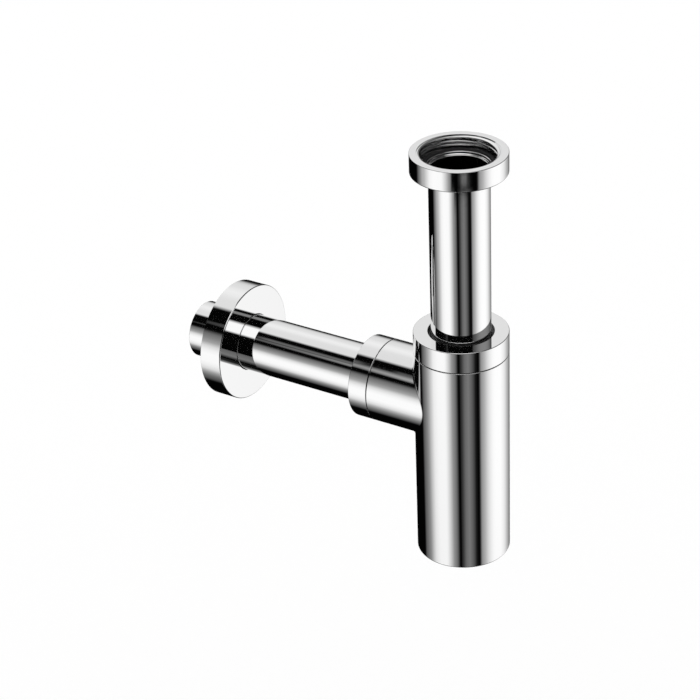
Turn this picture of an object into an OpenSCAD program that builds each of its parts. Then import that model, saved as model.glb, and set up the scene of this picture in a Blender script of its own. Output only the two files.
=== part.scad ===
// Bottle trap for a washbasin: a tubular inlet that slides in a screwed cap, a one-piece
// bottle with a side spigot, a tube to the wall and a deep cover flange.
// The origin is the centre of the inlet nut's mouth, +Z points up to the basin,
// and the outlet runs along +Y to the wall.

/* [Tubes] */
// Outside diameter of the inlet tube and of the wall tube
tube_d = 32; // [28:0.5:40]
// Wall of both tubes
tube_wall = 1; // [0.7:0.1:1.5]
// Distance from the mouth of the inlet nut down to the top of the cap
inlet_drop = 103; // [98:1:130]
// Length of inlet tube that stands inside the bottle, below the top of the cap
tube_in_bottle = 63; // [56:1:70]
// Length of the wall tube
wall_tube_l = 138.5; // [138:0.5:250]
// Distance from the bottle's axis to the inner end of the wall tube
wall_tube_start = 30; // [29:0.5:31]

/* [Inlet nut] */
// How much wider the inlet nut is than the tube
nut_over = 19; // [15:0.5:26]
// Height of the inlet nut
nut_h = 11.2; // [10.5:0.1:16]
// Thickness of the nut's floor, which pulls on the collar of the tube
nut_floor = 1.5; // [1.2:0.1:2.2]
// How much wider the pipe thread in the nut and on the spigot is than the tube
pipe_thread_over = 9.9; // [9.5:0.1:10.5]
// Pitch of the pipe thread
pipe_pitch = 2.309; // [2:0.001:2.4]
// How much wider the nut's bevelled mouth is than the thread
mouth_over = 1.4; // [0.7:0.1:2.6]
// Depth of the bevel at the nut's mouth
mouth_bevel = 1; // [0.6:0.1:1.4]
// Length of thread below the bevel
nut_thread_l = 4.9; // [4:0.1:5.2]

/* [Collar of the inlet tube] */
// Thickness of the tube's turned-out collar
collar_t = 1; // [0.8:0.1:1.3]
// Height of the centring lip above the collar
lip_h = 1; // [0.6:0.1:1.4]
// Width of the rim on top of the lip
lip_rim = 1; // [0.6:0.1:1.4]
// Depth of the flared mouth of the tube
flare_h = 1.5; // [1:0.1:3]
// Thickness of the flat washer on the collar
washer_t = 1.8; // [1.2:0.1:2.1]
// Thickness of the thin slip ring between the nut and the collar
thin_ring_t = 0.6; // [0.4:0.1:0.9]

/* [Cap] */
// Height of the cap
cap_h = 12; // [11.5:0.1:18]
// Thickness of the cap's flat top
cap_top_t = 2.2; // [1.6:0.1:2.6]
// Thickness of the cap's skirt behind its thread
cap_skirt = 2.5; // [1.8:0.1:2.8]
// Pitch of the cap's thread
cap_pitch = 1.5; // [1:0.1:2]
// Width of the seam lines at the cap and at the outlet nut
seam = 0.2; // [0.1:0.05:0.4]

/* [Bottle] */
// How much wider the bottle and its cap are than the tube
bottle_over = 19; // [18:0.5:28]
// Height of the bottle below the cap's seam
bottle_h = 122.1; // [118:0.1:160]
// Wall of the bottle
bottle_wall = 2; // [1.2:0.1:2.6]
// Thickness of the bottle's base
base_t = 2.5; // [2.3:0.1:4]
// Radius of the bottle's bottom edge
base_edge = 0.8; // [0.3:0.1:1.5]

/* [Seals in the cap and the outlet nut] */
// Thickness of the cone seals at their head
seal_w = 3; // [2.4:0.1:3.2]
// Depth of the conical seats
seat_depth = 5; // [4.4:0.1:5.4]
// Length of the cone seals below the rim of their seat
seal_l = 4.2; // [3:0.1:4.3]
// Height of the cone seals' head above the rim of their seat
seal_head = 0.6; // [0.3:0.1:0.9]
// Thickness of the slip rings behind the cone seals
ring_t = 1.2; // [0.8:0.1:1.4]
// Thickness of the flat seal on the bottle's rim
rim_seal_t = 1; // [0.6:0.1:1.3]

/* [Dip tube] */
// Depth of the water seal, from the outlet's invert to the end of the dip tube
water_seal = 50; // [50:1:55]
// Wall of the dip tube
dip_wall = 1.2; // [0.9:0.1:1.6]
// Thickness of the dip tube's hanging collar
dip_collar_t = 1.5; // [1:0.1:1.8]
// Wall of the dip tube's conical socket
socket_wall = 1.2; // [0.9:0.1:1.4]

/* [Outlet spigot and nut] */
// How much wider the spigot and the outlet nut are than the tube
spigot_over = 13.8; // [13.2:0.1:15]
// Wall of the spigot
spigot_wall = 2.3; // [1.6:0.1:2.6]
// Depth of the spigot's axis below the cap's seam
spigot_drop = 31; // [29:0.5:40]
// Distance from the bottle's axis to the seam between spigot and outlet nut
spigot_reach = 46.5; // [45:0.5:52]
// Length of the outlet nut
outlet_nut_h = 11.4; // [11:0.1:16]
// Thickness of the outlet nut's end face
outlet_face_t = 2.2; // [1.6:0.1:2.4]
// Length of the land that guides the wall tube
land_l = 4.6; // [3:0.1:6]

/* [Wall flange] */
// Outside diameter of the wall flange
flange_d = 66; // [58:1:90]
// Depth of the wall flange
flange_h = 13; // [9:0.5:25]
// Wall of the flange's rim
flange_wall = 1; // [0.7:0.1:2]
// Thickness of the flange's flat face
flange_face_t = 1.2; // [0.8:0.1:2]
// Length of wall tube that stands out behind the flange
stub_l = 20.1; // [15:0.1:30]
// Length of the hub inside the flange
hub_l = 6; // [5:0.1:8]
// Wall of the hub
hub_wall = 3; // [2.7:0.1:4]
// Section diameter of the ring that grips the wall tube
grip_ring_d = 2.2; // [1.6:0.1:2.4]
// Width of the bevel round the flange's face
flange_bevel = 0.5; // [0.2:0.1:1]

/* [Cleaning plug] */
// How much narrower the plug's thread is than the tube
plug_thread_under = 2; // [1:0.5:6]
// Pitch of the plug's thread
plug_pitch = 1.5; // [1:0.1:2]
// Length of the plug's stem above its head
plug_stem_l = 6; // [5:0.1:8]
// How much wider the plug's head is than its thread
plug_head_over = 4.8; // [4.6:0.1:6]
// Thickness of the plug's head
plug_head_t = 2; // [1.6:0.1:2.2]
// Section diameter of the ring under the plug's head
plug_ring_d = 1.7; // [1.2:0.1:1.9]
// Length of the coin slot across the plug's head
slot_l = 22; // [12:0.5:26]
// Width of the coin slot
slot_w = 2.6; // [1.6:0.1:4]
// Depth of the coin slot
slot_depth = 1.3; // [0.8:0.1:1.5]

/* [Clearances] */
// Radial gap between pieces that slide or turn in each other
slide_gap = 0.3; // [0.2:0.05:0.35]
// Radial gap between a seal and what it closes on
seal_fit = 0.05; // [0.02:0.01:0.1]
// Radial gap between the plain faces that stand for two mating threads
thread_fit = 0.08; // [0.04:0.01:0.1]
// Small bevel on edges that would cut a hand
edge_bevel = 0.3; // [0.1:0.05:0.4]

/* [Hidden] */
$fn = 128;
eps = 0.01;

chrome = [0.80, 0.81, 0.82];
rubber = [0.12, 0.12, 0.13];
nylon = [0.90, 0.90, 0.86];
plastic = [0.93, 0.94, 0.94];

// Shares of a thread's pitch: depth of a pipe thread, and depth to the mean radius of a
// metric one
pipe_depth = 0.6403;
metric_mean = 0.3248;

tube_r = tube_d / 2;
tube_bore_r = tube_r - tube_wall;
sliding_r = tube_r + slide_gap;
sealing_r = tube_r + seal_fit;

// Inlet nut, its thread and what it clamps, from its floor upwards
nut_r = (tube_d + nut_over) / 2;
pipe_thread_d = tube_d + pipe_thread_over;
mouth_d = pipe_thread_d + mouth_over;
pipe_minor_r = pipe_thread_d / 2 - pipe_depth * pipe_pitch;
pipe_mean_r = pipe_thread_d / 2 - pipe_depth * pipe_pitch / 2;
nut_floor_z = nut_floor - nut_h;
collar_r = pipe_minor_r - slide_gap;
collar_z = nut_floor_z + thin_ring_t;
collar_top_z = collar_z + collar_t;
tube_top_z = collar_top_z + lip_h;
flare_r = tube_r + tube_wall / 5;
lip_r = flare_r + lip_rim;
washer_gap = 0.1;

// Cap, seals and the bottle's rim, from the cap's top downwards
cap_top_z = -inlet_drop;
cap_bottom_z = cap_top_z - cap_h;
ceiling_z = cap_top_z - cap_top_t;
seal_top_z = ceiling_z - ring_t;
dip_top_z = seal_top_z - seal_head;
rim_z = dip_top_z - dip_collar_t - rim_seal_t;
shoulder_z = cap_bottom_z - seam;
bottle_r = (tube_d + bottle_over) / 2;
bottle_bore_r = bottle_r - bottle_wall;
cap_mean_r = bottle_r - cap_skirt - metric_mean * cap_pitch;
neck_r = cap_mean_r - thread_fit / 2;
cap_bore_r = cap_mean_r + thread_fit / 2;
rim_piece_r = neck_r - slide_gap / 2;

// Conical seats and the seals in them
seat_r = tube_r + seal_w;
land_r = tube_r + 0.5;
seat_slope = (seat_r - land_r) / seat_depth;
ring_r = seat_r - seal_fit;

// Dip tube and the neck's bore round its socket
socket_r = seat_r + socket_wall;
neck_bore_r = socket_r + slide_gap;
dip_bore_r = sliding_r;
dip_r = dip_bore_r + dip_wall;
outlet_z = shoulder_z - spigot_drop;
invert_z = outlet_z - tube_bore_r;
dip_end_z = invert_z - water_seal;
base_z = shoulder_z - bottle_h;
floor_z = base_z + base_t;
shoulder_t = 2.5;
tube_end_z = cap_top_z - tube_in_bottle;

// Spigot, its thread and the outlet nut, outwards from the bottle's axis
spigot_r = (tube_d + spigot_over) / 2;
spigot_bore_r = spigot_r - spigot_wall;
outlet_neck_r = pipe_mean_r - thread_fit / 2;
outlet_bore_r = pipe_mean_r + thread_fit / 2;
nut_back_y = spigot_reach + seam;
nut_front_y = nut_back_y + outlet_nut_h;
face_y = nut_front_y - outlet_face_t;
seal_front_y = face_y - ring_t;
neck_end_y = seal_front_y - seal_head;
seat_y = neck_end_y - seat_depth;
land_y = seat_y - land_l;

// Wall flange
flange_at = wall_tube_start + wall_tube_l - stub_l - flange_h;
flange_r = flange_d / 2;
hub_r = sliding_r + hub_wall;
grip_r = grip_ring_d / 2;
grip_centre_r = sealing_r + grip_r;

// Cleaning plug, upwards from the bottle's base
plug_thread_d = tube_d - plug_thread_under;
plug_mean_r = plug_thread_d / 2 - metric_mean * plug_pitch;
plug_r = plug_mean_r - thread_fit / 2;
plug_hole_r = plug_mean_r + thread_fit / 2;
plug_head_r = (plug_thread_d + plug_head_over) / 2;
recess_r = plug_head_r + slide_gap;
recess_z = base_z + plug_head_t;
plug_ring_r = plug_ring_d / 2;
plug_ring_centre_r = plug_mean_r + plug_ring_r + slide_gap;
plug_groove_r = plug_ring_centre_r + plug_ring_r + seal_fit;
boss_r = recess_r + base_t;
stem_end_z = recess_z + plug_stem_l;

// A ring about Z, from z upwards
module ring(outer, inner, z, h) {
    translate([0, 0, z])
        difference() {
            cylinder(r = outer, h = h);
            translate([0, 0, -eps])
                cylinder(r = inner, h = h + 2 * eps);
        }
}

// A half section turned about Z
module turned() {
    rotate_extrude()
        children();
}

// A radial section: a block from the inner to the outer radius, low to high
module block(inner, outer, low, high) {
    translate([inner, low])
        square([outer - inner, high - low]);
}

// What a rounded outer edge takes off a radial section, at the bottom of the block
module rounded_edge(outer, low, radius) {
    translate([outer - radius, low])
        difference() {
            translate([0, -eps])
                square([radius + eps, radius + eps]);
            translate([0, radius])
                circle(r = radius);
        }
}

// What a bevel takes off a radial section; side is 1 for a top edge and -1 for a bottom one,
// way is 1 for an outer edge and -1 for an inner one
module bevel(at, z, size, side, way) {
    polygon([
        [at - way * size, z + side * eps],
        [at + way * eps, z + side * eps],
        [at + way * eps, z - side * size],
    ]);
}

// Things on the outlet's axis, with their own Z running from the bottle's axis to the wall
module on_outlet() {
    translate([0, 0, outlet_z])
        rotate([-90, 0, 0])
            children();
}

// Rubber cone seal: rim is where its seat begins, and it tapers away from there
module cone_seal(rim) {
    turned()
        polygon([
            [sealing_r, rim - seal_l],
            [seat_r - seat_slope * seal_l - seal_fit, rim - seal_l],
            [ring_r, rim],
            [ring_r, rim + seal_head],
            [sealing_r, rim + seal_head],
        ]);
}

// What a conical seat and the land below it take out of a radial section
module seat_cut(rim, depth) {
    polygon([
        [0, rim + eps],
        [seat_r + seat_slope * eps, rim + eps],
        [land_r, rim - seat_depth],
        [land_r, rim - depth],
        [0, rim - depth],
    ]);
}

module inlet_nut() {
    color(chrome)
        turned()
            difference() {
                block(0, nut_r, -nut_h, 0);
                block(-1, sliding_r, -nut_h - 1, 1);
                block(0, pipe_minor_r, nut_floor_z, 1);
                // run-out groove below the thread, down to the floor
                block(0, pipe_thread_d / 2, nut_floor_z, -mouth_bevel - nut_thread_l);
                polygon([
                    [0, eps],
                    [mouth_d / 2, eps],
                    [mouth_d / 2, 0],
                    [pipe_minor_r, -mouth_bevel],
                    [0, -mouth_bevel],
                ]);
                rounded_edge(nut_r, -nut_h, 2 * edge_bevel);
                bevel(nut_r, 0, edge_bevel, 1, 1);
            }
}

module nut_slip_ring() {
    color(nylon)
        ring(collar_r, sliding_r, nut_floor_z, thin_ring_t);
}

module inlet_washer() {
    color(rubber)
        ring(collar_r, lip_r + washer_gap, collar_top_z, washer_t);
}

module inlet_tube() {
    color(chrome)
        turned()
            difference() {
                union() {
                    block(tube_bore_r, tube_r, tube_end_z, tube_top_z - flare_h);
                    block(tube_bore_r, lip_r, collar_z, tube_top_z);
                    block(tube_bore_r, collar_r, collar_z, collar_top_z);
                }
                polygon([
                    [0, tube_top_z + eps],
                    [flare_r + eps, tube_top_z + eps],
                    [tube_bore_r, tube_top_z - flare_h],
                    [0, tube_top_z - flare_h],
                ]);
                bevel(tube_r, tube_end_z, edge_bevel, -1, 1);
            }
}

module top_cap() {
    color(chrome)
        turned()
            difference() {
                block(sliding_r, bottle_r, cap_bottom_z, cap_top_z);
                block(0, cap_bore_r, cap_bottom_z - 1, ceiling_z);
                bevel(bottle_r, cap_top_z, edge_bevel, 1, 1);
                bevel(bottle_r, cap_bottom_z, edge_bevel / 2, -1, 1);
                bevel(sliding_r, cap_top_z, 2 * edge_bevel, 1, -1);
            }
}

module tube_slip_ring() {
    color(nylon)
        ring(ring_r, sliding_r, seal_top_z, ring_t);
}

module tube_cone_seal() {
    color(rubber)
        cone_seal(dip_top_z);
}

module dip_tube() {
    socket_low = dip_top_z - seat_depth;
    color(plastic)
        turned()
            difference() {
                // hanging collar, socket round the cone seal, slope, and the long tube
                polygon([
                    [0, dip_top_z],
                    [rim_piece_r, dip_top_z],
                    [rim_piece_r, dip_top_z - dip_collar_t],
                    [socket_r, dip_top_z - dip_collar_t],
                    [socket_r, socket_low],
                    [dip_r, socket_low - 3 * dip_wall],
                    [dip_r, dip_end_z],
                    [0, dip_end_z],
                ]);
                seat_cut(dip_top_z, seat_depth + dip_wall);
                block(-1, dip_bore_r, dip_end_z - 1, dip_top_z + 1);
            }
}

module rim_seal() {
    color(rubber)
        ring(rim_piece_r, neck_bore_r, rim_z, rim_seal_t);
}

// The bottle's outside: body, threaded neck for the cap and the rounded bottom edge
module bottle_outside() {
    turned()
        difference() {
            union() {
                block(0, bottle_r, base_z, shoulder_z);
                block(0, neck_r, base_z, rim_z);
            }
            rounded_edge(bottle_r, base_z, base_edge);
            bevel(bottle_r, shoulder_z, edge_bevel / 2, 1, 1);
            bevel(neck_r, rim_z, edge_bevel, 1, 1);
        }
}

// The bottle's inside: chamber, sloped shoulder and neck
module bottle_inside() {
    shoulder_low = shoulder_z - shoulder_t;
    turned()
        polygon([
            [0, floor_z],
            [bottle_bore_r, floor_z],
            [bottle_bore_r, shoulder_low - (bottle_bore_r - neck_bore_r)],
            [neck_bore_r, shoulder_low],
            [neck_bore_r, rim_z + 1],
            [0, rim_z + 1],
        ]);
}

// The side spigot and its threaded end
module spigot_outside() {
    on_outlet()
        turned()
            difference() {
                union() {
                    block(0, spigot_r, 0, spigot_reach);
                    block(0, outlet_neck_r, 0, neck_end_y);
                }
                bevel(spigot_r, spigot_reach, edge_bevel / 2, 1, 1);
                bevel(outlet_neck_r, neck_end_y, edge_bevel, 1, 1);
            }
}

module spigot_inside() {
    on_outlet()
        turned() {
            block(0, spigot_bore_r, 0, land_y);
            seat_cut(neck_end_y, neck_end_y - land_y + 1);
        }
}

// Boss that carries the plug's thread, standing on the bottle's floor
module plug_boss() {
    boss_top = stem_end_z;
    translate([0, 0, base_z + base_edge])
        cylinder(r = boss_r, h = boss_top - base_z - base_edge);
}

module plug_hole() {
    turned() {
        block(0, plug_hole_r, base_z, stem_end_z + 1);
        block(0, recess_r, base_z - 1, recess_z);
        block(0, plug_groove_r, recess_z - eps, recess_z + plug_ring_d);
    }
}

module trap_body() {
    color(chrome)
        difference() {
            union() {
                difference() {
                    union() {
                        bottle_outside();
                        spigot_outside();
                    }
                    bottle_inside();
                    spigot_inside();
                }
                plug_boss();
            }
            plug_hole();
        }
}

module outlet_nut() {
    color(chrome)
        on_outlet()
            turned()
                difference() {
                    block(sliding_r, spigot_r, nut_back_y, nut_front_y);
                    block(0, outlet_bore_r, nut_back_y - 1, face_y);
                    bevel(spigot_r, nut_front_y, edge_bevel, 1, 1);
                    bevel(spigot_r, nut_back_y, edge_bevel / 2, -1, 1);
                    bevel(sliding_r, nut_front_y, edge_bevel, 1, -1);
                }
}

module outlet_slip_ring() {
    color(nylon)
        on_outlet()
            ring(ring_r, sliding_r, seal_front_y, ring_t);
}

module outlet_cone_seal() {
    color(rubber)
        on_outlet()
            cone_seal(neck_end_y);
}

module wall_tube() {
    color(chrome)
        on_outlet()
            turned()
                difference() {
                    block(tube_bore_r, tube_r, wall_tube_start, wall_tube_start + wall_tube_l);
                    bevel(tube_r, wall_tube_start, edge_bevel, -1, 1);
                    bevel(tube_r, wall_tube_start + wall_tube_l, edge_bevel, 1, 1);
                }
}

module wall_flange() {
    grip_y = flange_at + hub_l / 2;
    color(chrome)
        on_outlet()
            turned()
                difference() {
                    union() {
                        block(sliding_r, flange_r, flange_at, flange_at + flange_face_t);
                        block(flange_r - flange_wall, flange_r, flange_at, flange_at + flange_h);
                        block(sliding_r, hub_r, flange_at, flange_at + hub_l);
                    }
                    bevel(flange_r, flange_at, flange_bevel, -1, 1);
                    bevel(sliding_r, flange_at, edge_bevel, -1, -1);
                    block(0, grip_centre_r + grip_r + seal_fit, grip_y - grip_r, grip_y + grip_r);
                }
}

module flange_grip_ring() {
    color(rubber)
        on_outlet()
            turned()
                translate([grip_centre_r, flange_at + hub_l / 2])
                    circle(r = grip_r);
}

module cleaning_plug() {
    color(chrome)
        difference() {
            turned()
                difference() {
                    union() {
                        block(0, plug_head_r, base_z, recess_z);
                        block(0, plug_r, base_z, stem_end_z);
                    }
                    bevel(plug_head_r, base_z, edge_bevel, -1, 1);
                    bevel(plug_r, stem_end_z, 2 * edge_bevel, 1, 1);
                }
            // coin slot with round ends
            translate([0, 0, base_z - 1])
                linear_extrude(slot_depth + 1)
                    union() {
                        square([slot_l - slot_w, slot_w], center = true);
                        for (side = [-1, 1])
                            translate([side * (slot_l - slot_w) / 2, 0])
                                circle(d = slot_w);
                    }
        }
}

module plug_seal_ring() {
    color(rubber)
        turned()
            translate([plug_ring_centre_r, recess_z + plug_ring_r])
                circle(r = plug_ring_r);
}

inlet_nut();
nut_slip_ring();
inlet_washer();
inlet_tube();
top_cap();
tube_slip_ring();
tube_cone_seal();
dip_tube();
rim_seal();
trap_body();
outlet_nut();
outlet_slip_ring();
outlet_cone_seal();
wall_tube();
wall_flange();
flange_grip_ring();
cleaning_plug();
plug_seal_ring();
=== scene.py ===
import math

import bpy
from mathutils import Matrix, Vector


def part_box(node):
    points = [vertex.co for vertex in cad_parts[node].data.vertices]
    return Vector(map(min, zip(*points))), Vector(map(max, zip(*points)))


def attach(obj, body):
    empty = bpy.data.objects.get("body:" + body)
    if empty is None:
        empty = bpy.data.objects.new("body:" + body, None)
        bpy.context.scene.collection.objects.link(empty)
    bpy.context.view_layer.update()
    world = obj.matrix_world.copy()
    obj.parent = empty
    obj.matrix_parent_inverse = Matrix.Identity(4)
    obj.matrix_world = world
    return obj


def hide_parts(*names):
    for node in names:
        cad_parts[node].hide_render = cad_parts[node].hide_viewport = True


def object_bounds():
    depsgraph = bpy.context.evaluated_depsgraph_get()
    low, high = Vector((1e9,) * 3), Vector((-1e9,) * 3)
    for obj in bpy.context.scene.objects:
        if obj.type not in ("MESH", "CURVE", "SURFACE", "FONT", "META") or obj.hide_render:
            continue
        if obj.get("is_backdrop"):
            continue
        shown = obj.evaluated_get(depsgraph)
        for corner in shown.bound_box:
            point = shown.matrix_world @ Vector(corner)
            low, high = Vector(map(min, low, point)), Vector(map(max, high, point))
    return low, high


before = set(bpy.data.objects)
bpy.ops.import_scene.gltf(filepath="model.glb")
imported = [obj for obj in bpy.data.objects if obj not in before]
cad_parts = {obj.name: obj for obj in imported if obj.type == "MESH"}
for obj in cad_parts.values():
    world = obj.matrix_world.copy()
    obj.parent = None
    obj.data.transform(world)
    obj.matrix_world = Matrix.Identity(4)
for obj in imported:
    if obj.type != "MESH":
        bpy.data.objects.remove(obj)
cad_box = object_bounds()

# Inlet nut: the union nut that hangs the trap on the basin waste. Turned from brass bar
# and chromed, smooth outside, with a pipe thread of four turns behind a short counterbore
# and a floor that pulls up the collar of the inlet tube.
mm = 0.001
chrome_tone = 0.95


def arc(centre, start, sweep, radius, steps):
    """Points of an outline along a corner's arc, each with its outward direction."""
    turned_by = [start + sweep * k / steps for k in range(steps + 1)]
    side = 1 if sweep > 0 else -1
    return [
        (centre + radius * Vector((math.cos(a), math.sin(a))), side * Vector((math.cos(a), math.sin(a))))
        for a in turned_by
    ]


def outline(corners, closed=True):
    """Stretches of a half section: straight ones, and the arcs of its rounded corners.

    Corners are (radius, height, rounding) in millimetres, anticlockwise round the metal.
    """
    count = len(corners)
    flat = [Vector(corner[:2]) for corner in corners]
    starts, ends, arcs = [], [], []
    for k, here in enumerate(flat):
        rounding = corners[k][2]
        inner = closed or 0 < k < count - 1
        if not rounding or not inner:
            starts.append(here)
            ends.append(here)
            arcs.append(None)
            continue
        before = (flat[k - 1] - here).normalized()
        after = (flat[(k + 1) % count] - here).normalized()
        half = before.angle(after) / 2
        middle = here + (before + after).normalized() * rounding / math.sin(half)
        tangent = rounding / math.tan(half)
        first = here + before * tangent - middle
        last = here + after * tangent - middle
        sweep = math.atan2(first.cross(last), first.dot(last))
        starts.append(here + before * tangent)
        ends.append(here + after * tangent)
        arcs.append(arc(middle, math.atan2(first.y, first.x), sweep, rounding, 8))
    stretches = []
    for k in range(count):
        if arcs[k]:
            stretches.append(arcs[k])
        if not closed and k == count - 1:
            continue
        begin, end = ends[k], starts[(k + 1) % count]
        if (end - begin).length > 1e-6:
            run = (end - begin).normalized()
            away = Vector((run.y, -run.x))
            stretches.append([(begin, away), (end, away)])
    return stretches


def thread(low, high, root, crest, pitch, crest_at, lead_in, run_out):
    """Radius of a rounded right-hand screw thread, which has a crest at height crest_at."""
    def radius(turns, height):
        phase = 2 * math.pi * ((height - crest_at) / pitch - turns)
        wave = (16 * math.cos(phase) - math.cos(3 * phase)) / 15
        fade = min(1, max(0, (high - height) / lead_in), max(0, (height - low) / run_out))
        return root + (crest - root) * (0.5 + 0.5 * wave) * fade
    return low, high, root, radius


def turn(stretches, cut=None, segments=256):
    """Grids of points and normals from turning an outline round the Z axis.

    An upright stretch of the outline at the root of a thread follows that thread.
    """
    grids = []
    for stretch in stretches:
        begin, end = stretch[0][0], stretch[-1][0]
        on_thread = cut and abs(begin.x - cut[2]) < 1e-6 and abs(end.x - cut[2]) < 1e-6
        if on_thread and min(begin.y, end.y) >= cut[0] - 1e-6 and max(begin.y, end.y) <= cut[1] + 1e-6:
            rows = max(2, round(abs(end.y - begin.y) / 0.12))
            out = stretch[0][1].x
            grid = []
            for step in range(segments + 1):
                turns = step / segments
                row = []
                for k in range(rows + 1):
                    height = begin.y + (end.y - begin.y) * k / rows
                    radius = cut[3](turns, height)
                    slope = (cut[3](turns, height + 0.01) - cut[3](turns, height - 0.01)) / 0.02
                    away = Vector((out, -out * slope)).normalized()
                    row.append((Vector((radius, height)), away))
                grid.append(row)
        else:
            grid = [stretch] * (segments + 1)
        rows = []
        for step, row in enumerate(grid):
            angle = 2 * math.pi * step / segments
            c, s = math.cos(angle), math.sin(angle)
            rows.append([
                (Vector((p.x * c, p.x * s, p.y)), Vector((n.x * c, n.x * s, n.y))) for p, n in row
            ])
        grids.append(rows)
    return grids


def to_outlet(grids):
    """The same grids laid along the outlet's axis, their own Z running to the wall."""
    low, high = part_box("wall_tube")
    axis_z = (low.z + high.z) / 2 / mm
    return [
        [[(Vector((p.x, p.z, axis_z - p.y)), Vector((n.x, n.z, -n.y))) for p, n in row] for row in rows]
        for rows in grids
    ]


def piece(name, grids, material, body, inside=None, shade_paint=None):
    """One object from grids in millimetres, which stands for the CAD node of that name.

    Faces whose middle is inside() get the second material, a near-black one that paints shade on them.
    """
    points, normals, faces, marks = [], [], [], []
    for rows in grids:
        for row, after in zip(rows, rows[1:]):
            for k in range(len(row) - 1):
                corners = [row[k], row[k + 1], after[k + 1], after[k]]
                across = (corners[2][0] - corners[0][0]).cross(corners[3][0] - corners[1][0])
                if across.length < 1e-12:
                    continue
                if across.dot(corners[0][1] + corners[2][1]) < 0:
                    corners.reverse()
                first = len(points)
                points += [p * mm for p, _ in corners]
                normals += [n.normalized() for _, n in corners]
                faces.append(range(first, first + 4))
                middle = (corners[0][0] + corners[2][0]) / 2
                marks.append(1 if inside and inside(middle) else 0)
    mesh = bpy.data.meshes.new(name)
    mesh.from_pydata(points, [], faces)
    mesh.materials.append(material)
    if shade_paint:
        mesh.materials.append(shade_paint)
        mesh.polygons.foreach_set("material_index", marks)
    mesh.polygons.foreach_set("use_smooth", [True] * len(faces))
    mesh.normals_split_custom_set_from_vertices(normals)
    made = bpy.data.objects.new(name + "_skin", mesh)
    bpy.context.scene.collection.objects.link(made)
    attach(made, body)
    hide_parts(name)
    return made


def finish(name, colour, metallic, roughness):
    """A new surface, its shader and a function that adds a node fed by object coordinates."""
    material = bpy.data.materials.new(name)
    material.use_nodes = True
    nodes, links = material.node_tree.nodes, material.node_tree.links
    shader = nodes["Principled BSDF"]
    shader.inputs["Base Color"].default_value = (*colour, 1)
    shader.inputs["Metallic"].default_value = metallic
    shader.inputs["Roughness"].default_value = roughness
    place = nodes.new("ShaderNodeTexCoord")

    def noise(scale, detail, low, high):
        """A noise of so many grains per metre, brought between two values."""
        made = nodes.new("ShaderNodeTexNoise")
        made.inputs["Scale"].default_value = scale
        made.inputs["Detail"].default_value = detail
        links.new(place.outputs["Object"], made.inputs["Vector"])
        ranged = nodes.new("ShaderNodeMapRange")
        ranged.inputs["From Min"].default_value = 0.3
        ranged.inputs["From Max"].default_value = 0.7
        ranged.inputs["To Min"].default_value = low
        ranged.inputs["To Max"].default_value = high
        links.new(made.outputs["Fac"], ranged.inputs["Value"])
        return ranged.outputs["Result"]

    def relief(height, depth):
        """Small heights on the surface, in metres."""
        bump = nodes.new("ShaderNodeBump")
        bump.inputs["Distance"].default_value = depth
        links.new(height, bump.inputs["Height"])
        links.new(bump.outputs["Normal"], shader.inputs["Normal"])

    return material, shader, links, noise, relief


def chrome(name, lowest, highest, waviness):
    """Bright chromium plate: its polish varies a little, and so does its flatness."""
    material, shader, links, noise, relief = finish(name, (chrome_tone,) * 3, 1, lowest)
    links.new(noise(300, 4, lowest, highest), shader.inputs["Roughness"])
    relief(noise(90, 2, 0, 1), waviness)
    return material


plated = chrome("chromed_brass", 0.02, 0.045, 1.0e-6)
# Near-black brass for the cap's lower end face: painted shade that darkens the seam between cap and bottle, not a
# real finish of the metal.
seam_shade_paint, seam_shade_paint_shader, seam_shade_paint_links, seam_shade_paint_noise, seam_shade_paint_relief = finish("seam_shade_paint_brass", (0.02, 0.018, 0.015), 0.6, 0.5)
seam_shade_paint_links.new(seam_shade_paint_noise(900, 3, 0.45, 0.7), seam_shade_paint_shader.inputs["Roughness"])
seam_shade_paint_relief(seam_shade_paint_noise(2500, 2, 0, 1), 1.5e-5)

low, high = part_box("inlet_nut")
nut_r, nut_low = high.x / mm, low.z / mm
tube_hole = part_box("inlet_tube")[1].x / mm
slide = 16.3
nut_floor = -9.7
pipe_root = 20.95
pipe_crest = 19.47
mouth_r = 21.65
mouth_depth = 0.4
nut_section = outline([
    (slide, nut_low, 0.3),
    (nut_r, nut_low, 0.9),
    (nut_r, 0, 0.3),
    (mouth_r, 0, 0.12),
    (mouth_r, -mouth_depth, 0),
    (pipe_root, -mouth_depth, 0),
    (pipe_root, -5.9, 0),
    (pipe_root, nut_floor, 0.25),
    (slide, nut_floor, 0.2),
])
nut_thread = thread(-5.9, -mouth_depth, pipe_root, pipe_crest, 2.309, -0.95, 0.3, 1.8)
piece("inlet_nut", turn(nut_section, nut_thread, 384), plated, "nut")

# Slip ring in the nut: a thin black nylon washer on the floor of the nut, which lets the nut
# turn under the collar of the tube without scoring it. Stamped from sheet.
nylon, nylon_shader, nylon_links, nylon_noise, nylon_relief = finish("nylon", (0.02, 0.02, 0.02), 0, 0.45)
nylon_links.new(nylon_noise(700, 3, 0.38, 0.55), nylon_shader.inputs["Roughness"])
nylon_relief(nylon_noise(1500, 3, 0, 1), 8.0e-6)


def flat_ring(name, material, body, edge, on_outlet=False):
    """A plain ring with softened edges, in the place of the CAD node of that name."""
    low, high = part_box(name)
    inner = inner_radius(name)
    across = (low.y / mm, high.y / mm) if on_outlet else (low.z / mm, high.z / mm)
    section = outline([
        (inner, across[0], edge),
        (high.x / mm, across[0], edge),
        (high.x / mm, across[1], edge),
        (inner, across[1], edge),
    ])
    grids = turn(section)
    return piece(name, to_outlet(grids) if on_outlet else grids, material, body)


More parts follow.
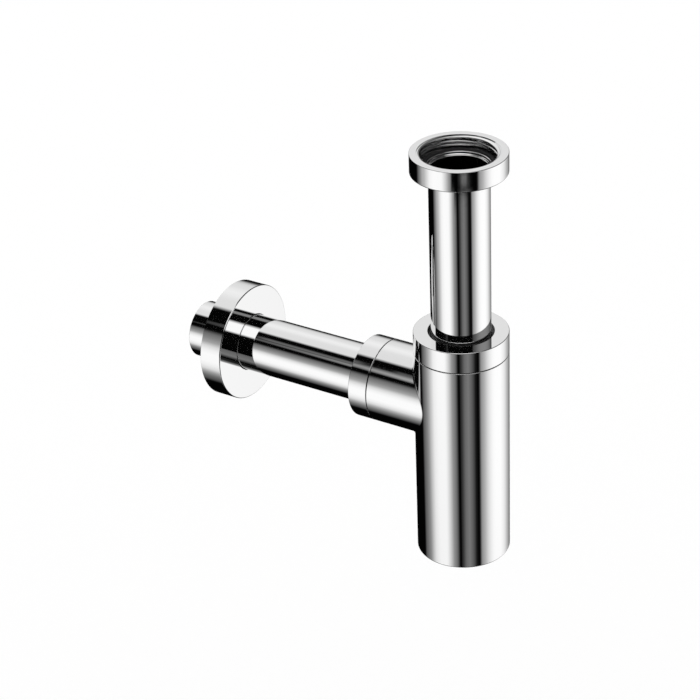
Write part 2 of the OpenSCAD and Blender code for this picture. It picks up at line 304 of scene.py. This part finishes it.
def inner_radius(name):
    """Radius of the hole through a CAD node that is turned about its own axis."""
    low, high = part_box(name)
    along_wall = name.startswith(("outlet", "wall", "flange"))
    centre = (low.z + high.z) / 2 if along_wall else 0
    return min(
        math.hypot(v.co.x, v.co.z - centre if along_wall else v.co.y)
        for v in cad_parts[name].data.vertices
    ) / mm


flat_ring("nut_slip_ring", nylon, "nut_ring", 0.1)

# Washer on the collar: flat black rubber, which the nut squeezes against the end face of the
# waste. Its bore centres on the lip of the tube.
rubber, rubber_shader, rubber_links, rubber_noise, rubber_relief = finish("rubber", (0.012, 0.012, 0.013), 0, 0.55)
rubber_links.new(rubber_noise(500, 4, 0.45, 0.7), rubber_shader.inputs["Roughness"])
rubber_relief(rubber_noise(1800, 4, 0, 1), 2.0e-5)
flat_ring("inlet_washer", rubber, "inlet", 0.25)

# Inlet tube: drawn brass tube, chromed and polished, with a collar turned out at its top and
# a rolled lip above the collar. It slides in the cap, so the trap's height can be set.
low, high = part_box("inlet_tube")
tube_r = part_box("wall_tube")[1].x / mm
tube_bore = inner_radius("inlet_tube")
collar_r, lip_top, tube_low = high.x / mm, high.z / mm, low.z / mm
collar_low, collar_top = lip_top - 2, lip_top - 1
lip_r = inner_radius("inlet_washer") - 0.1
tube_section = outline([
    (tube_bore, tube_low, 0.2),
    (tube_r, tube_low, 0.3),
    (tube_r, collar_low, 0.25),
    (collar_r, collar_low, 0.3),
    (collar_r, collar_top, 0.3),
    (lip_r, collar_top, 0.15),
    (lip_r, lip_top, 0.49),
    (tube_r + 0.2, lip_top, 0.49),
    (tube_r + 0.2, lip_top - 1.3, 0.3),
    (tube_bore, lip_top - 1.7, 0.5),
])
piece("inlet_tube", turn(tube_section, segments=512), plated, "inlet")

# Cap: the deep screwed lid of the bottle, turned from brass and chromed. The slip ring shows in
# its hole round the tube, and its skirt carries the thread that squeezes the cone seal.
low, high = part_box("top_cap")
cap_r, cap_low, cap_top = high.x / mm, low.z / mm, high.z / mm
cap_bore = 22.553
ceiling = cap_top - 2.2
cap_hole = 17.7
cap_section = outline([
    (cap_hole, ceiling, 0.2),
    (cap_hole, cap_top, 0.2),
    (cap_r, cap_top, 0.35),
    (cap_r, cap_low + 0.1, 0.25),
    (cap_bore + 0.6, cap_low + 0.1, 0.2),
    (cap_bore + 0.6, cap_low + 0.9, 0),
    (cap_bore + 0.6, ceiling - 1.2, 0),
    (cap_bore, ceiling - 1.2, 0),
    (cap_bore, ceiling, 0.3),
][::-1])
cap_thread = thread(cap_low + 0.9, ceiling - 1.2, cap_bore + 0.6, cap_bore, 1.5, cap_low, 0.5, 0.5)
# The cap's lower end face, in the seam over the bottle's shoulder, gets the near-black material: painted shade in
# that seam.
piece(
    "top_cap", turn(cap_section, cap_thread, 384), plated, "cap",
    lambda p: p.z < cap_low + 0.3 and math.hypot(p.x, p.y) < cap_r - 0.5, seam_shade_paint)

# Slip ring in the cap: black nylon, between the cap and the cone seal, so that the seal isn't
# twisted while the cap is screwed down.
flat_ring("tube_slip_ring", nylon, "cap_ring", 0.15)


# Cone seal on the inlet tube: moulded rubber, squeezed between the slip ring and the conical
# socket of the dip tube until it grips the tube.
def cone_seal(name, body, on_outlet=False):
    """A tapered ring seal, thin end first, in the place of the CAD node of that name."""
    low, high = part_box(name)
    inner = inner_radius(name)
    begin, end = (low.y / mm, high.y / mm) if on_outlet else (low.z / mm, high.z / mm)
    head = end - 0.6
    thin = high.x / mm - 0.5 * (head - begin)
    section = outline([
        (inner, begin, 0.1),
        (thin, begin, 0.1),
        (high.x / mm, head, 0.15),
        (high.x / mm, end, 0.2),
        (inner, end, 0.2),
    ])
    grids = turn(section)
    piece(name, to_outlet(grids) if on_outlet else grids, rubber, body)


cone_seal("tube_cone_seal", "tube_seal")

# Dip tube: injection-moulded white plastic. It hangs by its collar in the bottle's neck, holds
# the cone seal in its socket and leads the waste water down below the outlet.
low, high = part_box("dip_tube")
plastic, plastic_shader, plastic_links, plastic_noise, plastic_relief = finish(
    "white_plastic", (0.78, 0.79, 0.79), 0, 0.35)
plastic_links.new(plastic_noise(400, 3, 0.3, 0.42), plastic_shader.inputs["Roughness"])
plastic_relief(plastic_noise(1200, 3, 0, 1), 6.0e-6)
dip_top, dip_low, dip_collar_r = high.z / mm, low.z / mm, high.x / mm
dip_bore = inner_radius("dip_tube")
dip_section = outline([
    (dip_bore, dip_low, 0.3),
    (dip_bore + 1.2, dip_low, 0.3),
    (dip_bore + 1.2, dip_top - 8.6, 1.5),
    (20.2, dip_top - 5, 1),
    (20.2, dip_top - 1.5, 0.2),
    (dip_collar_r, dip_top - 1.5, 0.2),
    (dip_collar_r, dip_top, 0.2),
    (19, dip_top, 0.1),
    (16.5, dip_top - 5, 0.1),
    (16.5, dip_top - 6.2, 0.1),
    (dip_bore, dip_top - 6.2, 0.1),
])
piece("dip_tube", turn(dip_section), plastic, "bottle")

# Rim seal: flat black rubber ring on the bottle's rim, under the collar of the dip tube.
flat_ring("rim_seal", rubber, "bottle", 0.15)

# Bottle: one chromed brass body. The casting has a side spigot that flows into the wall of the
# bottle, machined threads for the cap and for the outlet nut, and a boss for the plug.
low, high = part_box("trap_body")
bottle_r, base = high.x / mm, low.z / mm
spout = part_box("outlet_nut")
axis_z = (spout[0].z + spout[1].z) / 2 / mm
spigot_r = spout[1].x / mm
shoulder = cap_low - 0.2
seam_y = spout[0].y / mm - 0.2
neck_r, neck_top, neck_bore = 22.473, high.z / mm, 20.5
bottle_bore, floor_z = 23.5, base + 2.5
spigot_bore = 20.6


def tee(body_r, branch_r, rounding, patch_low, patch_high, reach, inward, count=384):
    """Where a branch along +Y leaves an upright cylinder, with a rolled fillet between them.

    Gives the branch out to reach, the fillet, and the half of the cylinder round it.
    """
    side = -1 if inward else 1
    branch, fillet, wall = [], [], []
    for k in range(count + 1):
        psi = 2 * math.pi * k / count
        c, s = math.cos(psi), math.sin(psi)
        out = branch_r + side * rounding
        around = body_r + side * rounding
        ball = Vector((out * c, math.sqrt(around ** 2 - (out * c) ** 2), axis_z + out * s))
        on_branch = Vector((c, 0, s))
        on_body = Vector((ball.x, ball.y, 0)).normalized()
        branch.append([
            (Vector((branch_r * c, y, axis_z + branch_r * s)), side * on_branch) for y in (ball.y, reach)
        ])
        row = []
        for step in range(9):
            facing = on_branch.slerp(on_body, step / 8)
            row.append((ball - side * rounding * facing, side * facing))
        fillet.append(row)
        foot = ball - side * rounding * on_body
        theta = math.atan2(foot.x, foot.y)
        box = max(abs(c), abs(s))
        edge_theta = math.pi / 2 * c / box
        edge_z = axis_z + (patch_high - axis_z if s > 0 else axis_z - patch_low) * s / box
        row = []
        for step in range(21):
            share = step / 20
            t = theta + (edge_theta - theta) * share
            away = Vector((math.sin(t), math.cos(t), 0))
            row.append((away * body_r + Vector((0, 0, foot.z + (edge_z - foot.z) * share)), side * away))
        wall.append(row)
    back = []
    for k in range(129):
        t = math.pi / 2 + math.pi * k / 128
        away = Vector((math.sin(t), math.cos(t), 0))
        back.append([
            (away * body_r + Vector((0, 0, z)), side * away) for z in (patch_low, patch_high)
        ])
    return [branch, fillet, wall, back]


spigot_fillet = 1.5
patch_low, patch_high = axis_z - 30, axis_z + 28
above = outline([
    (bottle_r, patch_high, 0),
    (bottle_r, shoulder - 0.1, 0.25),
    (neck_r - 0.75, shoulder - 0.1, 0.2),
    (neck_r - 0.75, neck_top, 0.3),
    (neck_bore, neck_top, 0.2),
    (neck_bore, shoulder - 2.5, 0.5),
    (bottle_bore, shoulder - 5.5, 0.5),
    (bottle_bore, axis_z + 25, 0),
], closed=False)
neck_thread = thread(shoulder - 0.1, neck_top, neck_r - 0.75, neck_r, 1.5, cap_low + 0.75, 0.5, 0.6)
below = outline([
    (bottle_bore, axis_z - 25, 0),
    (bottle_bore, floor_z, 1),
    (20.2, floor_z, 0.6),
    (20.2, base + 8, 0.4),
    (14.553, base + 8, 0.3),
    (14.553, base + 3.7, 0),
    (16.56, base + 3.7, 0.2),
    (16.56, base + 2, 0.1),
    (17.7, base + 2, 0.1),
    (17.7, base, 0.3),
    (bottle_r, base, 0.8),
    (bottle_r, patch_low, 0),
], closed=False)
outlet_root = 20.171 - 0.9
snout = outline([
    (spigot_bore, 40, 0),
    (spigot_bore, 40.5, 0),
    (16.5, 44.5, 0.3),
    (16.5, 49.1, 0),
    (19, 54.1, 0.2),
    (outlet_root, 54.1, 0),
    (outlet_root, seam_y - 0.1, 0.2),
    (spigot_r, seam_y - 0.1, 0.2),
    (spigot_r, 44, 0),
][::-1], closed=False)
outlet_thread = thread(seam_y + 0.9, 54.1, outlet_root, 20.171, 2.309, seam_y, 0.5, 0.8)
body_grids = tee(bottle_r, spigot_r, spigot_fillet, patch_low, patch_high, 44, False)
body_grids += tee(bottle_bore, spigot_bore, 0.3, axis_z - 25, axis_z + 25, 40, True, 192)
body_grids += turn(above, neck_thread, 320) + turn(below, segments=320)
body_grids += to_outlet(turn(snout, outlet_thread, 320))
piece("trap_body", body_grids, plated, "bottle")

# Outlet nut: chromed brass, as wide as the spigot, so that the joint shows as a fine line. It
# screws on the spigot and squeezes the second cone seal round the wall tube.
low, high = spout
nut_back, nut_front = low.y / mm, high.y / mm
outlet_bore = 20.251
outlet_section = outline([
    (outlet_bore, nut_back + 0.1, 0.2),
    (spigot_r, nut_back + 0.1, 0.2),
    (spigot_r, nut_front, 0.4),
    (slide, nut_front, 0.3),
    (slide, nut_front - 2.2, 0.2),
    (outlet_bore, nut_front - 2.2, 0.3),
])
piece("outlet_nut", to_outlet(turn(outlet_section, segments=384)), plated, "outlet_union")

# Slip ring in the outlet nut: black nylon, so that the nut turns without twisting the seal.
flat_ring("outlet_slip_ring", nylon, "outlet_ring", 0.15, on_outlet=True)

# Cone seal on the wall tube: moulded rubber, in the conical seat at the end of the spigot.
cone_seal("outlet_cone_seal", "wall_seal", on_outlet=True)

# Wall tube: drawn brass tube, chromed and polished, cut square at both ends. One end slides in
# the spigot, and the other goes through the flange into the drain socket in the wall.
low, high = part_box("wall_tube")
wall_tube_section = outline([
    (tube_bore, low.y / mm, 0.2),
    (tube_r, low.y / mm, 0.25),
    (tube_r, high.y / mm, 0.25),
    (tube_bore, high.y / mm, 0.2),
])
piece("wall_tube", to_outlet(turn(wall_tube_section, segments=512)), plated, "wall_pipe")

# Wall flange: a deep cover rose pressed from brass sheet and chromed. Its flat face and upright
# rim hide the hole in the wall, and a short hub inside holds the ring that grips the tube.
low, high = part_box("wall_flange")
flange_r, face, rim = high.x / mm, low.y / mm, high.y / mm
hub_r = 19.3
grip_y, grip_half, grip_root = face + 3, 1.1, 18.3
flange_section = outline([
    (slide, face, 0.3),
    (flange_r, face, 0.6),
    (flange_r, rim, 0.15),
    (flange_r - 1, rim, 0.15),
    (flange_r - 1, face + 1.2, 0.5),
    (hub_r, face + 1.2, 0.5),
    (hub_r, face + 6, 0.2),
    (slide, face + 6, 0.2),
    (slide, grip_y + grip_half, 0.05),
    (grip_root, grip_y + grip_half, 0.1),
    (grip_root, grip_y - grip_half, 0.1),
    (slide, grip_y - grip_half, 0.05),
])
piece("wall_flange", to_outlet(turn(flange_section, segments=384)), plated, "flange")


# Grip ring: a black rubber ring in the groove of the flange's hub, which holds the flange
# wherever it is pushed along the tube.
def round_ring(name, body, on_outlet=False):
    """A ring of round section, in the place of the CAD node of that name."""
    low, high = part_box(name)
    across = (low.y, high.y) if on_outlet else (low.z, high.z)
    half = (across[1] - across[0]) / 2 / mm
    middle = Vector((high.x / mm - half, (across[0] + across[1]) / 2 / mm))
    stretch = arc(middle, 0, 2 * math.pi, half, 32)
    grids = turn([stretch])
    piece(name, to_outlet(grids) if on_outlet else grids, rubber, body)


round_ring("flange_grip_ring", "grip_ring", on_outlet=True)

# Cleaning plug: a chromed brass screw plug in the bottle's base, with a slot for a coin. It is
# taken out to clean the trap.
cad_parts["cleaning_plug"].data.materials.clear()
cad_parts["cleaning_plug"].data.materials.append(plated)

# Ring under the plug's head: black rubber of round section, squeezed in its groove.
round_ring("plug_seal_ring", "plug_ring")

# Floor: plain and pale, at the height of a bathroom floor below a washbasin. From below it is
# see-through, so that the underside of the trap can be looked at.
floor_z = -0.55
floor_mesh = bpy.data.meshes.new("floor")
half = 6
floor_mesh.from_pydata(
    [(-half, -half, floor_z), (half, -half, floor_z), (half, half, floor_z), (-half, half, floor_z)],
    [], [(0, 1, 2, 3)])
floor_paint = bpy.data.materials.new("floor_paint")
floor_paint.use_nodes = True
nodes, links = floor_paint.node_tree.nodes, floor_paint.node_tree.links
paint = nodes["Principled BSDF"]
paint.inputs["Base Color"].default_value = (1, 1, 1, 1)
paint.inputs["Roughness"].default_value = 1
paint.inputs["Specular IOR Level"].default_value = 0
clear = nodes.new("ShaderNodeBsdfTransparent")
facing = nodes.new("ShaderNodeNewGeometry")
mix = nodes.new("ShaderNodeMixShader")
links.new(facing.outputs["Backfacing"], mix.inputs[0])
links.new(paint.outputs[0], mix.inputs[1])
links.new(clear.outputs[0], mix.inputs[2])
links.new(mix.outputs[0], nodes["Material Output"].inputs["Surface"])
floor_mesh.materials.append(floor_paint)
floor = bpy.data.objects.new("floor", floor_mesh)
bpy.context.scene.collection.objects.link(floor)
floor.visible_glossy = False
floor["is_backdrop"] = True

# Studio: even white light all round, and for the chrome the soft boxes and black cards of a
# product studio, laid out by direction in the world.
world = bpy.data.worlds.new("studio")
bpy.context.scene.world = world
world.use_nodes = True
tree = world.node_tree
tree.nodes.clear()
coords = tree.nodes.new("ShaderNodeTexCoord")
camera_side = -149.8


def calc(operation, *values):
    """One math node on sockets or numbers."""
    made = tree.nodes.new("ShaderNodeMath")
    made.operation = operation
    for socket, value in zip(made.inputs, values):
        if isinstance(value, bpy.types.NodeSocket):
            tree.links.new(value, socket)
        else:
            socket.default_value = value
    return made.outputs[0]


def greatest(*values):
    """The brightest of several cards."""
    best = values[0]
    for value in values[1:]:
        best = calc("MAXIMUM", best, value)
    return best


def parts_of(vector):
    made = tree.nodes.new("ShaderNodeSeparateXYZ")
    tree.links.new(vector, made.inputs[0])
    return made.outputs


def degrees(radians):
    return calc("MULTIPLY", radians, 180 / math.pi)


def azimuth_from(middle):
    """Degrees round the Z axis, 0 at middle."""
    turned_back = tree.nodes.new("ShaderNodeVectorRotate")
    turned_back.rotation_type = "Z_AXIS"
    turned_back.inputs["Angle"].default_value = math.radians(-middle)
    tree.links.new(coords.outputs["Generated"], turned_back.inputs["Vector"])
    x, y, z = parts_of(turned_back.outputs[0])
    return degrees(calc("ARCTAN2", y, x))


def light(tone):
    """Light that the screen shows as a tone from 0 to 255."""
    share = tone / 255
    return share / 12.92 if share <= 0.04045 else ((share + 0.055) / 1.055) ** 2.4


def profile(value, stops):
    """Light against an angle: stops are (degrees, tone)."""
    first, last = stops[0][0], stops[-1][0]
    made = tree.nodes.new("ShaderNodeValToRGB")
    tree.links.new(calc("DIVIDE", calc("SUBTRACT", value, first), last - first), made.inputs[0])
    elements = made.color_ramp.elements
    for _ in stops[2:]:
        elements.new(1)
    for element, (angle, tone) in zip(elements, stops):
        element.position = (angle - first) / (last - first)
        element.color = (light(tone),) * 3 + (1,)
    return made.outputs[0]


world_x, world_y, world_z = parts_of(coords.outputs["Generated"])
elevation = degrees(calc("ARCSINE", world_z))
# angle round the outlet's axis, 0 towards the room on the left and 90 upwards
tilt = degrees(calc("ARCTAN2", world_z, calc("MULTIPLY", world_x, -1)))
# angle out of the plane across the outlet, towards the wall
reach = degrees(calc("ARCSINE", world_y))

left_box = calc(
    "MULTIPLY",
    profile(azimuth_from(camera_side - 56), [
        (-66, 3), (-56, 150), (-50, 200), (-32, 196), (-24, 222), (-16, 248), (-4, 255), (12, 253),
        (16, 248), (24, 210), (32, 150), (40, 112), (46, 20), (49, 3)]),
    profile(tilt, [
        (-84, 3), (-78, 16), (-70, 113), (-62, 139), (-54, 173), (-46, 223), (-38, 243), (-30, 252),
        (-14, 252), (-6, 242), (2, 218), (10, 162), (18, 133), (26, 108), (33, 16), (36, 3)]))
left_box = calc("MULTIPLY", left_box, greatest(
    profile(elevation, [(-90, 255), (-14, 255), (-8, 3), (90, 3)]),
    profile(reach, [(18, 3), (23, 255), (35, 255), (42, 3)])))
right_box = calc(
    "MULTIPLY",
    profile(azimuth_from(camera_side + 96), [
        (-57, 3), (-54, 30), (-49, 145), (-40, 180), (-32, 215), (-24, 238), (-16, 251), (-8, 255),
        (10, 255), (24, 238), (32, 220), (40, 193), (48, 170), (56, 150), (66, 3)]),
    profile(elevation, [
        (-59, 10), (-55, 113), (-50, 139), (-45, 190), (-38, 246), (-32, 254), (-25, 254), (-11, 252),
        (-4, 200), (3, 3), (20, 3), (24, 130), (34, 130), (38, 3)]))
glow = calc(
    "MULTIPLY",
    profile(azimuth_from(camera_side + 13), [
        (-19, 3), (-13, 60), (-6, 104), (2, 118), (10, 93), (19, 26), (25, 3)]),
    profile(elevation, [
        (-90, 3), (-60, 10), (-45, 255), (-25.5, 255), (-25.4, 3)]))
nut_glow = calc(
    "MULTIPLY",
    profile(azimuth_from(camera_side + 11), [
        (-16, 3), (-10, 50), (-4, 110), (3, 112), (8, 60), (14, 3)]),
    profile(elevation, [(-25.4, 3), (-25.25, 240), (-25.02, 255), (-24.9, 3)]))
front_light = calc(
    "MULTIPLY",
    profile(azimuth_from(camera_side), [(-75, 3), (-55, 255), (55, 255), (75, 3)]),
    profile(elevation, [(36, 3), (42, 255), (88, 255), (90, 255)]))
top_light = profile(elevation, [(78, 3), (84, 255), (90, 255)])
far_box = calc(
    "MULTIPLY",
    profile(azimuth_from(camera_side + 168), [
        (-14, 3), (-11, 120), (0, 140), (8, 120), (14, 70), (22, 25), (32, 6), (40, 3)]),
    profile(elevation, [
        (-54, 3), (-48, 90), (-38, 220), (-28, 255), (-20, 225), (-13, 150), (-8, 30), (-5, 3)]))
ceiling_light = calc(
    "MULTIPLY",
    profile(elevation, [
        (-5, 3), (1, 90), (8, 185), (15, 213), (22, 220), (29, 223), (35, 231), (43, 238), (49, 234),
        (56, 223), (70, 217), (90, 217)]),
    profile(azimuth_from(30), [
        (-179, 150), (-120, 150), (-35, 150), (-15, 250), (-8, 255), (90, 255), (179, 255)]))
ceiling_light = calc(
    "MULTIPLY", ceiling_light,
    profile(tilt, [(-180, 255), (-90, 255), (-88, 3), (78, 3), (85, 255), (180, 255)]))
ceiling_light = calc("MULTIPLY", ceiling_light, profile(reach, [(12, 3), (21, 255), (90, 255)]))
strip = calc(
    "MULTIPLY",
    profile(tilt, [(49, 3), (53, 60), (57, 105), (61, 85), (65, 3)]),
    profile(reach, [
        (26.6, 3), (26.9, 225), (27.3, 225), (27.45, 3), (28.05, 3), (28.5, 255), (30.7, 255), (31, 3)]))
black_card = greatest(
    profile(azimuth_from(camera_side + 12), [
        (-179, 255), (-33, 255), (-29, 3), (29, 3), (33, 255), (179, 255)]),
    profile(elevation, [(-90, 255), (-25.5, 255), (-25.4, 3), (90, 3)]))
seen = greatest(
    calc("MULTIPLY", left_box, black_card), right_box, glow, nut_glow, far_box, ceiling_light, strip,
    front_light, top_light)
rays = tree.nodes.new("ShaderNodeLightPath")
even = tree.nodes.new("ShaderNodeBackground")
boxes = tree.nodes.new("ShaderNodeBackground")
tree.links.new(calc("DIVIDE", seen, chrome_tone), boxes.inputs["Color"])
both = tree.nodes.new("ShaderNodeMixShader")
tree.links.new(rays.outputs["Is Glossy Ray"], both.inputs[0])
even.inputs["Color"].default_value = (1, 1, 1, 1)
tree.links.new(even.outputs[0], both.inputs[1])
tree.links.new(boxes.outputs[0], both.inputs[2])
tree.links.new(both.outputs[0], tree.nodes.new("ShaderNodeOutputWorld").inputs[0])
bpy.context.scene.view_settings.view_transform = "Standard"

# Camera: the photograph's viewing angle, from the room, left of the trap and above it, with a
# long lens.
centre = Vector((0, 0, -0.110))
round_z, height, roll = math.radians(-56.697), math.radians(29.282), math.radians(-2.269)
back = Vector((
    math.sin(round_z) * math.cos(height), -math.cos(round_z) * math.cos(height), math.sin(height)))
level = Vector((math.cos(round_z), math.sin(round_z), 0))
upright = back.cross(level)
right = math.cos(roll) * level + math.sin(roll) * upright
up = math.cos(roll) * upright - math.sin(roll) * level
camera = bpy.data.objects.new("camera", bpy.data.cameras.new("camera"))
bpy.context.scene.collection.objects.link(camera)
camera.matrix_world = Matrix((
    (right.x, up.x, back.x, 0), (right.y, up.y, back.y, 0), (right.z, up.z, back.z, 0), (0, 0, 0, 1)))
camera.location = centre + right * -0.05881 + up * -0.004389 + back * 1.2277
camera.data.sensor_width = 36
camera.data.lens = 119.5
camera.data.clip_start = 0.01
bpy.context.scene.camera = camera

[[list(corner) for corner in box] for box in (cad_box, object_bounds())]
